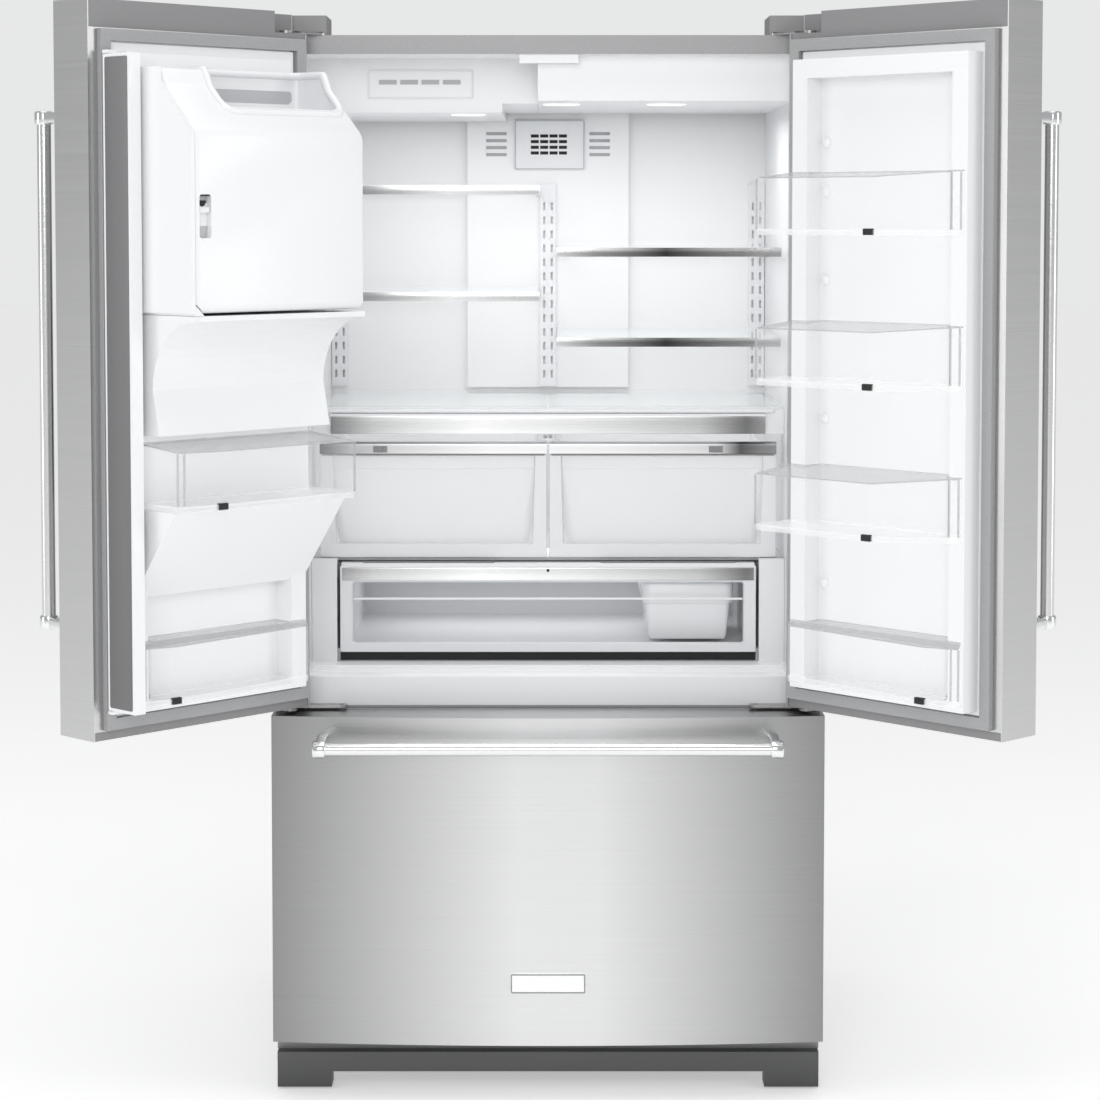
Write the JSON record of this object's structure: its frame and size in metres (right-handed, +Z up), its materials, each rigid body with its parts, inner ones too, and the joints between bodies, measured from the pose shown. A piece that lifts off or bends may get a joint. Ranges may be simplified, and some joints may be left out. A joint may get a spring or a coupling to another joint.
{
  "type": "french door refrigerator",
  "caption": "Free-standing fridge with a pair of swinging doors over a freezer drawer; shelves, crispers, pantry drawer, door bins, in-door ice bin and dispenser.",
  "frame": {"origin": "middle of the floor area that the fridge covers with both doors standing open, on the floor", "axes": "+X to the viewer's right across the front, +Y from the front to the back, +Z up"},
  "size_m": [1.5932, 1.2057, 1.781],
  "materials": {
    "painted_steel": "satin",
    "stainless": "satin",
    "polished_steel": "polished",
    "zinc_steel": "satin",
    "foam": "matte",
    "white_liner": "satin",
    "grey_trim": "satin",
    "dark_grey": "matte",
    "black_gloss": "gloss",
    "seal_rubber": "matte",
    "clear_plastic": "gloss",
    "frosted_plastic": "satin",
    "tempered_glass": "gloss",
    "silver_trim": "satin",
    "compressor_black": "gloss",
    "copper_coil": "matte",
    "roller_nylon": "matte"
  },
  "bodies": {
    "cabinet": {"cabinet_shell": "painted_steel", "back_panel": "painted_steel", "insulation": "foam", "fridge_liner": "white_liner", "freezer_liner": "white_liner", "centre_rail": "white_liner", "air_duct_panel": "white_liner", "vent_grille": "white_liner", "ceiling_fascia": "white_liner", "ice_maker_housing": "white_liner", "shelf_ladders": "zinc_steel", "shelf_glass": "tempered_glass", "shelf_frames": "silver_trim", "crisper_deck": "tempered_glass", "drawer_frame": "white_liner", "base_grille": "dark_grey", "undercarriage": "zinc_steel", "compressor": "compressor_black", "condenser": "copper_coil", "door_hinges": "zinc_steel", "hinge_covers": "grey_trim"},
    "left_door": {"left_door_skin": "stainless", "left_door_liner": "white_liner", "left_door_caps": "grey_trim", "left_door_gasket": "seal_rubber", "left_door_handle": "polished_steel", "dispenser_housing": "dark_grey", "dispenser_panel": "black_gloss"},
    "dispenser_paddle": {"dispenser_paddle": "dark_grey"},
    "drip_tray": {"drip_tray": "dark_grey"},
    "ice_bin": {"ice_bin": "white_liner"},
    "ice_bin_latch": {"ice_bin_latch": "dark_grey"},
    "left_bin_middle": {"left_bin_middle": "clear_plastic"},
    "left_bin_bottom": {"left_bin_bottom": "clear_plastic"},
    "flipper_mullion": {"flipper_mullion": "grey_trim"},
    "right_door": {"right_door_skin": "stainless", "right_door_liner": "white_liner", "right_door_caps": "grey_trim", "right_door_gasket": "seal_rubber", "right_door_handle": "polished_steel"},
    "right_bin_top": {"right_bin_top": "clear_plastic"},
    "right_bin_upper": {"right_bin_upper": "clear_plastic"},
    "right_bin_lower": {"right_bin_lower": "clear_plastic"},
    "right_bin_bottom": {"right_bin_bottom": "clear_plastic"},
    "freezer_drawer": {"freezer_front": "stainless", "freezer_front_liner": "white_liner", "freezer_gasket": "seal_rubber", "freezer_handle": "polished_steel", "badge_plate": "polished_steel", "freezer_slides": "zinc_steel", "freezer_bin": "frosted_plastic"},
    "freezer_basket": {"freezer_basket": "frosted_plastic"},
    "crisper_left": {"crisper_left": "frosted_plastic"},
    "crisper_right": {"crisper_right": "frosted_plastic"},
    "humidity_slider_left": {"humidity_slider_left": "grey_trim"},
    "humidity_slider_right": {"humidity_slider_right": "grey_trim"},
    "pantry_drawer": {"pantry_drawer": "white_liner"},
    "pantry_tray": {"pantry_tray": "white_liner"},
    "rear_rollers": {"rear_rollers": "roller_nylon"},
    "condenser_fan": {"condenser_fan": "dark_grey"}
  },
  "joints": [
    {"name": "left_door_swing", "type": "hinge", "parent": "cabinet", "child": "left_door", "pos_m": [-0.4245, -0.18103, 1.749], "axis": [0, 0, -1], "range_deg": [-134, 0]},
    {"name": "right_door_swing", "type": "hinge", "parent": "cabinet", "child": "right_door", "pos_m": [0.4245, -0.18103, 1.749], "axis": [0, 0, 1], "range_deg": [-134, 0]},
    {"name": "flipper_turn", "type": "hinge", "parent": "left_door", "child": "flipper_mullion", "pos_m": [-0.66397, -0.50099, 1.2], "axis": [0, 0, -1], "range_deg": [0, 90]},
    {"name": "freezer_drawer_slide", "type": "slide", "parent": "cabinet", "child": "freezer_drawer", "axis": [0, -1, 0], "range_m": [0, 0.36]},
    {"name": "freezer_basket_slide", "type": "slide", "parent": "freezer_drawer", "child": "freezer_basket", "axis": [0, 1, 0], "range_m": [0, 0.2]},
    {"name": "crisper_left_slide", "type": "slide", "parent": "cabinet", "child": "crisper_left", "axis": [0, -1, 0], "range_m": [0, 0.24]},
    {"name": "crisper_right_slide", "type": "slide", "parent": "cabinet", "child": "crisper_right", "axis": [0, -1, 0], "range_m": [0, 0.24]},
    {"name": "humidity_left_slide", "type": "slide", "parent": "crisper_left", "child": "humidity_slider_left", "axis": [1, 0, 0], "range_m": [0, 0.03]},
    {"name": "humidity_right_slide", "type": "slide", "parent": "crisper_right", "child": "humidity_slider_right", "axis": [-1, 0, 0], "range_m": [0, 0.03]},
    {"name": "pantry_drawer_slide", "type": "slide", "parent": "cabinet", "child": "pantry_drawer", "axis": [0, -1, 0], "range_m": [0, 0.3]},
    {"name": "pantry_tray_slide", "type": "slide", "parent": "pantry_drawer", "child": "pantry_tray", "axis": [-1, 0, 0], "range_m": [0, 0.3]},
    {"name": "ice_bin_pull", "type": "slide", "parent": "left_door", "child": "ice_bin", "axis": [0.7193, -0.6947, 0], "range_m": [0, 0.15]},
    {"name": "ice_latch_press", "type": "slide", "parent": "ice_bin", "child": "ice_bin_latch", "axis": [0, 0, 1], "range_m": [0, 0.008], "stiffness_N_per_m": 800},
    {"name": "left_bin_middle_lift", "type": "slide", "parent": "left_door", "child": "left_bin_middle", "axis": [0, 0, 1], "range_m": [0, 0.01]},
    {"name": "left_bin_bottom_lift", "type": "slide", "parent": "left_door", "child": "left_bin_bottom", "axis": [0, 0, 1], "range_m": [0, 0.03]},
    {"name": "right_bin_top_lift", "type": "slide", "parent": "right_door", "child": "right_bin_top", "axis": [0, 0, 1], "range_m": [0, 0.03]},
    {"name": "right_bin_upper_lift", "type": "slide", "parent": "right_door", "child": "right_bin_upper", "axis": [0, 0, 1], "range_m": [0, 0.03]},
    {"name": "right_bin_lower_lift", "type": "slide", "parent": "right_door", "child": "right_bin_lower", "axis": [0, 0, 1], "range_m": [0, 0.03]},
    {"name": "right_bin_bottom_lift", "type": "slide", "parent": "right_door", "child": "right_bin_bottom", "axis": [0, 0, 1], "range_m": [0, 0.03]},
    {"name": "dispenser_paddle_press", "type": "hinge", "parent": "left_door", "child": "dispenser_paddle", "pos_m": [-0.52893, -0.35683, 1.255], "axis": [-0.6947, -0.7193, 0], "range_deg": [0, 8], "stiffness_Nm_per_rad": 2},
    {"name": "drip_tray_pull", "type": "slide", "parent": "left_door", "child": "drip_tray", "axis": [-0.7193, 0.6947, 0], "range_m": [0, 0.06]},
    {"name": "roller_spin", "type": "hinge", "parent": "cabinet", "child": "rear_rollers", "pos_m": [0, 0.55297, 0.022], "axis": [1, 0, 0], "continuous": true},
    {"name": "fan_spin", "type": "hinge", "parent": "cabinet", "child": "condenser_fan", "pos_m": [-0.04, 0.46997, 0.18], "axis": [1, 0, 0], "continuous": true}
  ],
  "couplings": [
    {"joint": "flipper_turn", "follows": "left_door_swing", "ratio": -0.67164}
  ]
}
